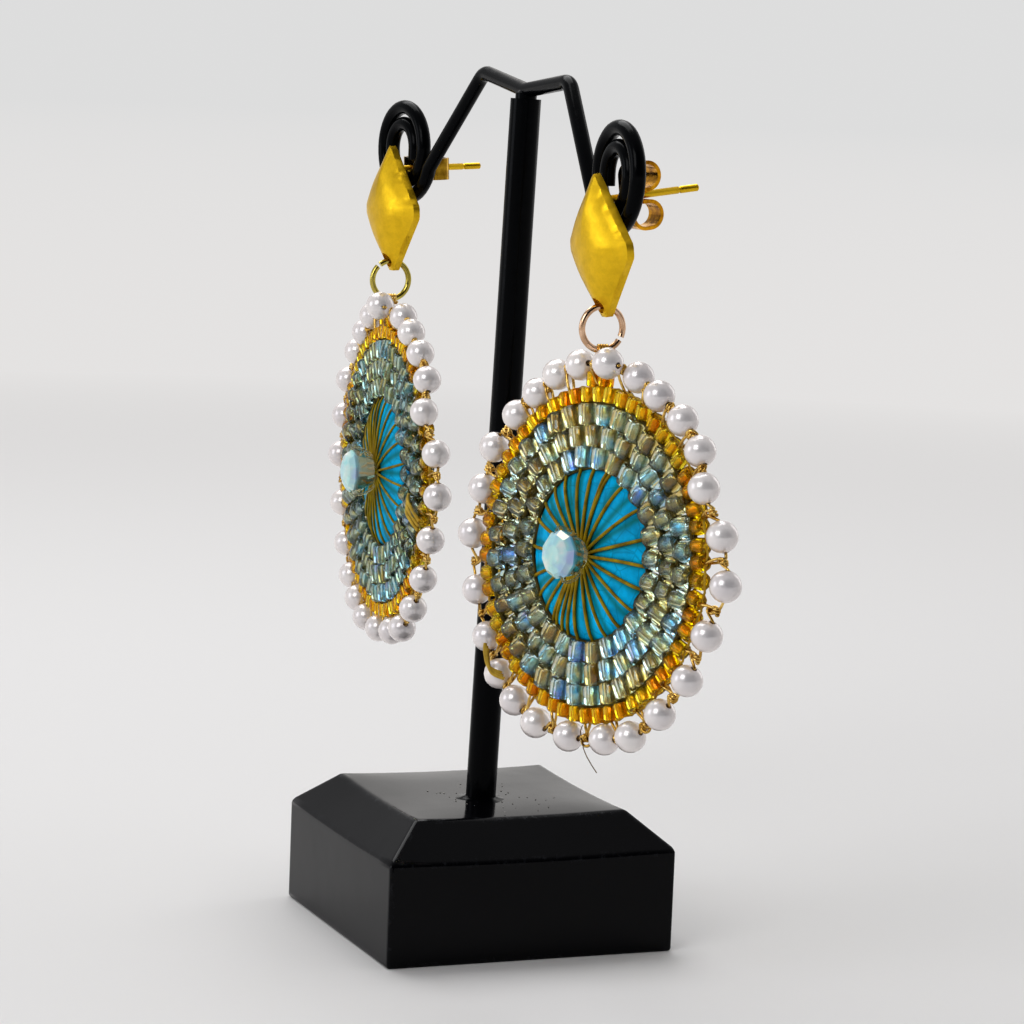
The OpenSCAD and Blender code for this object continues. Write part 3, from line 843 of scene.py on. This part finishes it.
def pearls(side):
    """Drilled pearls, each with its bore along the string."""
    rng = random.Random(f"pearls {side}")
    inset = math.asin(BORE_R / PEARL_R)
    arc = [inset + (math.pi - 2 * inset) * k / 15 for k in range(16)]
    profile = [(PEARL_R * math.sin(t), PEARL_R * math.cos(t)) for t in arc]
    places = []
    for i in range(len(PEARL_PLACES)):
        way = (pearl_at(i + 1) - pearl_at(i - 1)).normalized()
        place = Matrix.Translation(pearl_at(i) * MM) @ way.to_track_quat("Z", "Y").to_matrix().to_4x4()
        places.append((on_drop(side) @ place @ Matrix.Rotation(rng.uniform(0, 6), 4, "Z"), rng.random()))
    return strung(turned(profile, 28, closed=True, angle=60), places, f"pearl_string_{side}")


def picots(side):
    """Fine wire from pearl to pearl, tied to the gold row in each gap and looped once."""
    rng = random.Random(f"picots {side}")
    front = Vector((0, -1, 0))
    lines = []

    def way(k):
        return (pearl_at(k + 1) - pearl_at(k - 1)).normalized()

    for i in range(len(PEARL_PLACES)):
        here, there = pearl_at(i), pearl_at(i + 1)
        mid = (here + there) / 2
        out = Vector((mid.x, 0, mid.z)).normalized()
        along = (there - here).normalized()
        foot = out * (GOLD_OUT + 0.15) + along * rng.uniform(-0.3, 0.3)
        size = rng.uniform(0.42, 0.68)
        swing = rng.uniform(-0.9, 0.9)
        across = along * math.cos(swing) + front * math.sin(swing)
        eye = mid + out * rng.uniform(-0.6, 0.6)
        coil = [mid + along * (0.05 * k - 0.4) + 0.4 * (out * math.cos(0.8 * k) + front * math.sin(0.8 * k))
                for k in range(17)]
        line = [here + way(i) * 1.7, here + way(i) * 2.0, *coil,
                mid - along * 0.35 - out * 0.5 + front * 0.25,
                foot + front * 0.4, foot - out * 0.25 - front * 0.05, foot - front * 0.4,
                mid + along * 0.1 - out * 0.7 - front * 0.3]
        for k in range(9):
            t = -math.pi / 2 + math.tau * 1.1 * k / 8
            line.append(eye + size * (across * math.cos(t) + out * math.sin(t)) + front * (k - 4) * 0.06)
        line += [there - way(i + 1) * 2.0, there - way(i + 1) * 1.7]
        lines.append(eased(line, 3))
    return strands(f"picot_wire_{side}", lines, FINE_WIRE_R, on_drop(side), sides=1)


def ring_ties(side):
    """Turns of fine wire round the ring's foot and the threads that go down to the gold beads."""
    foot = Vector(RING_CENTRE[side]) - Vector((0, 0, RING_R))
    to_world = on_drop(side)
    rng = random.Random(f"ties {side}")
    wraps = []
    for y in (-0.45, -0.1, 0.25, 0.6):
        wraps += [foot + Vector((0.62 * math.cos(t), y + 0.35 * t / math.tau, 0.62 * math.sin(t)))
                  for t in [math.tau * j / 10 for j in range(10)]]
    lines = [wraps]
    for k, (angle, y) in enumerate(RING_THREADS):
        end = to_world @ (round_drop(angle, 22.2, y) * MM) / MM
        start = foot + Vector((0.25 * (k - 1.5), -0.35 + 0.25 * k, -0.5))
        bow = (start + end) / 2 + Vector((rng.uniform(-0.15, 0.15), rng.uniform(-0.1, 0.1), 0))
        lines.append(eased([start, bow, end], 5))
    return strands(f"ring_ties_{side}", lines, FINE_WIRE_R, sides=1)


def loose_ends():
    """A strip of thread over the right rim's pearls, a tail below it, and a darned place in the left one."""
    strip = [round_drop(229, 21, 2.2), round_drop(226, 21.4, 2.5), round_drop(221, 21.9, 2.5),
             round_drop(217, 21.4, 1.6)]
    strips = [eased([p + Vector((d, 0, -d)) for p in strip], 5) for d in (-0.3, 0, 0.3)]
    tail = [round_drop(176, 20.9, 0.2), round_drop(176.2, 21.9, 0.4), round_drop(174, 23.9, 0.5),
            round_drop(171.5, 25.4, 0.4), round_drop(169.5, 26.6, 0.2)]
    darn = [[round_drop(96 + k, 14.1, 0.9), round_drop(98 + 1.5 * k, 15.8, 1.5),
             round_drop(101 + 1.2 * k, 18.4, 1.3), round_drop(103 + k, 19.8, 0.9)] for k in (0, 2, 4)]
    return (strands("thread_strip_right", strips, STRIP_R, on_drop("right"), sides=1),
            strands("thread_tail_right", [eased(tail, 6)], TAIL_R, on_drop("right"), sides=1),
            strands("darned_place_left", [eased(line, 5) for line in darn], DARN_R, on_drop("left"), sides=1))


# Setting
PALE = (0.66, 0.65, 0.645)
PALE_ABOVE = (0.62, 0.62, 0.62)
TENT_WALL = (0.45, 0.45, 0.455)
TENT_BACK = (0.8, 0.785, 0.77)
TENT_OPENING = (0.01, 0.012, 0.018)
GLASS_DIM = (0.17, 0.12, 0.03)
GLASS_BRIGHT = (1.75, 2.4, 2.9)


def floor_sheet():
    """Pale sheet that melts into the tent's wall a long way off."""
    bm = bmesh.new()
    bmesh.ops.create_grid(bm, x_segments=2, y_segments=2, size=60)
    floor = collect("floor", bm)
    material, shader = plain_finish("pale_paper", (0.725, 0.715, 0.71), roughness=0.7)
    where = node(material, "ShaderNodeTexCoord").outputs["Object"]
    length = node(material, "ShaderNodeVectorMath", operation="LENGTH")
    join(material, where, length.inputs[0])
    away = spread(material, length.outputs["Value"], 0, 1, 0.22, 0.75)
    glow = node(material, "ShaderNodeEmission")
    far = spread(material, length.outputs["Value"], 0, 1, 1.0, 5.0)
    join(material, blended(material, far, PALE, PALE_ABOVE), glow.inputs["Color"])
    mix = node(material, "ShaderNodeMixShader")
    join(material, away, mix.inputs[0])
    join(material, shader.outputs[0], mix.inputs[1])
    join(material, glow.outputs[0], mix.inputs[2])
    join(material, mix.outputs[0], material.node_tree.nodes["Material Output"].inputs["Surface"])
    floor.data.materials.append(material)


def softbox(name, at, size, power, colour=(1, 1, 1)):
    lamp = bpy.data.lights.new(name, "AREA")
    lamp.shape = "RECTANGLE"
    lamp.size, lamp.size_y = size
    lamp.energy = power
    lamp.color = colour
    holder = bpy.data.objects.new(name, lamp)
    holder.location = at
    holder.rotation_mode = "QUATERNION"
    holder.rotation_quaternion = (Vector(LIGHTS_AIM) - Vector(at)).to_track_quat("-Z", "Y")
    bpy.context.collection.objects.link(holder)


def towards(world, where, direction, low, high):
    """From 0 to 1 as a direction of the sky comes near the given one."""
    dot = node(world, "ShaderNodeVectorMath", operation="DOT_PRODUCT")
    dot.inputs[1].default_value = direction
    join(world, where, dot.inputs[0])
    return spread(world, dot.outputs["Value"], 0, 1, low, high, "SMOOTHSTEP")


def tent():
    """Light tent with a dark opening in front and a bright back, and with broken light through glass."""
    world = bpy.data.worlds.new("tent")
    world.use_nodes = True
    bpy.context.scene.world = world
    where = node(world, "ShaderNodeTexCoord").outputs["Generated"]
    ray = node(world, "ShaderNodeLightPath").outputs
    front = towards(world, where, (0.98, -0.1, 0.12), 0.3, 0.95)
    back = towards(world, where, (-0.915, 0.377, 0.14), 0.9, 0.99)
    lit = blended(world, front, blended(world, back, TENT_WALL, TENT_BACK), TENT_OPENING)
    patches = node(world, "ShaderNodeTexNoise")
    patches.inputs["Scale"].default_value = 3.2
    patches.inputs["Detail"].default_value = 1
    join(world, where, patches.inputs["Vector"])
    shards = spread(world, patches.outputs["Fac"], 0, 1, 0.52, 0.58)
    through = blended(world, front, blended(world, shards, GLASS_DIM, GLASS_BRIGHT), TENT_OPENING)
    unseen = blended(world, ray["Is Transmission Ray"], lit, through)
    seen = blended(world, ray["Is Camera Ray"], unseen, PALE_ABOVE)
    join(world, seen, world.node_tree.nodes["Background"].inputs["Color"])


def camera():
    yaw, pitch, roll = (math.radians(a) for a in CAMERA_TURN)
    ahead = Vector((-math.cos(yaw) * math.cos(pitch), math.sin(yaw) * math.cos(pitch), math.sin(pitch)))
    right = Vector((math.sin(yaw), math.cos(yaw), 0))
    up = right.cross(ahead)
    right, up = (math.cos(roll) * right + math.sin(roll) * up, -math.sin(roll) * right + math.cos(roll) * up)
    lens = bpy.data.cameras.new("camera")
    lens.sensor_width = 36
    lens.lens = lens.sensor_width * FOCAL_PX / FRAME_PX
    lens.clip_start, lens.clip_end = 0.02, 30
    seat = bpy.data.objects.new("camera", lens)
    place = Matrix((right, up, -ahead)).transposed().to_4x4()
    place.translation = CAMERA_AT
    seat.matrix_world = place
    bpy.context.collection.objects.link(seat)
    bpy.context.scene.camera = seat


def dress(name, material):
    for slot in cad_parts[name].material_slots:
        slot.material = material


camera()
tent()
floor_sheet()
softbox("top_light", (-0.34, 0.0, 0.6), (0.5, 0.5), 2.1)
softbox("left_light", (-0.2, -0.65, 0.2), (0.3, 0.3), 0.42, (0.95, 0.985, 1.06))
softbox("right_light", (-0.2, 0.65, 0.3), (0.3, 0.5), 0.4)
softbox("front_light", (0.29, -0.44, 0.36), (0.28, 0.28), 0.8)

black, enamel, plate_gold = polished_black(), satin_black(), satin_gold()
# Painted shade: the left clutch is a darker copy of the clutch gold, for the shadow it sits in and the black
# wire it reflects.
clutch_gold = {"left": bright_gold("clutch_gold_painted_shade", (0.5, 0.3, 0.03), (0.22, 0.12, 0.01)),
               "right": bright_gold("clutch_gold", (0.85, 0.42, 0.02), (0.3, 0.12, 0.005), 0.18)}
ring_metal = {"left": bright_gold("olive_ring_gold", (0.62, 0.52, 0.14), (0.4, 0.32, 0.06), 0.2),
              "right": bright_gold("rose_ring_gold", (0.85, 0.6, 0.42), (0.55, 0.34, 0.2), 0.16)}
wire_metal = bright_gold("fine_gold_wire", (0.85, 0.6, 0.2), (0.45, 0.26, 0.05), 0.2)
stone = turquoise_stone()
thread = thread_finish("olive_bronze_thread", (0.18, 0.115, 0.003), (0.44, 0.3, 0.01))
# Painted shade: the thread in the joints between rows of beads is painted very dark, for the shade between
# the beads.
stitch_thread_shaded = thread_finish("stitch_thread_painted_shade", (0.035, 0.028, 0.006), (0.12, 0.09, 0.02))
gold_thread = thread_finish("gold_thread", (0.3, 0.19, 0.02), (0.62, 0.42, 0.06))
nylon = clear_thread()
hair = thread_finish("thread_tail", (0.08, 0.05, 0.02), (0.16, 0.1, 0.04))
amber, amber_core, nacre = gold_glass(), gold_lining(), pearl_finish()

fit(stand_base(), "stand", "stand_gloss", black, "stand_base")
fit(foot_collar(), "stand", "stand_gloss", enamel)
fit(dust(), "stand", "stand_gloss", grey_dust())
dress("stand_post", enamel)
fit(stand_wire(), "stand", "stand_metal", enamel, "stand_wire")
fit(wire_stem(), "stand", "stand_metal", enamel)
for side in SIDES:
    drop = f"drop_{side}"
    fit(drill(stud_plate(side), side), "stand", "stud_gold", plate_gold, f"stud_{side}")
    fit(ear_post(side), "stand", "stud_gold", plate_gold)
    dress(f"clutch_{side}", clutch_gold[side])
    dress(f"jump_ring_{side}", ring_metal[side])
    dress(f"crystal_bead_{side}", crystal_glass(side))
    dress(f"crystal_thread_{side}", nylon)
    fit(turquoise_disc(side), drop, "turquoise", stone, f"turquoise_disc_{side}")
    fit(windings(side), drop, "thread", thread)
    shells, cores = aqua_rows(side)
    fit(shells, drop, "aqua_glass", aqua_glass(side), f"aqua_beads_{side}")
    fit(cores, drop, "aqua_glass", bead_lining(side))
    shells, cores = gold_row(side)
    fit(shells, drop, "gold_glass", amber, f"gold_beads_{side}")
    fit(cores, drop, "gold_glass", amber_core)
    fit(row_stitches(side), drop, "thread", stitch_thread_shaded)
    fit(edge_thread(side), drop, "thread", gold_thread)
    fit(pearls(side), drop, "pearl", nacre, f"pearls_{side}")
    fit(picots(side), drop, "gold_wire", wire_metal, f"pearl_wire_{side}")
    fit(ring_ties(side), drop, "gold_wire", wire_metal, f"hang_loop_{side}")

strip, tail, darn = loose_ends()
fit(strip, "drop_right", "thread", gold_thread)
fit(tail, "drop_right", "thread", hair)
fit(darn, "drop_left", "thread", gold_thread)

bpy.context.scene.view_settings.view_transform = "Standard"
bpy.context.scene.view_settings.look = "Medium High Contrast"
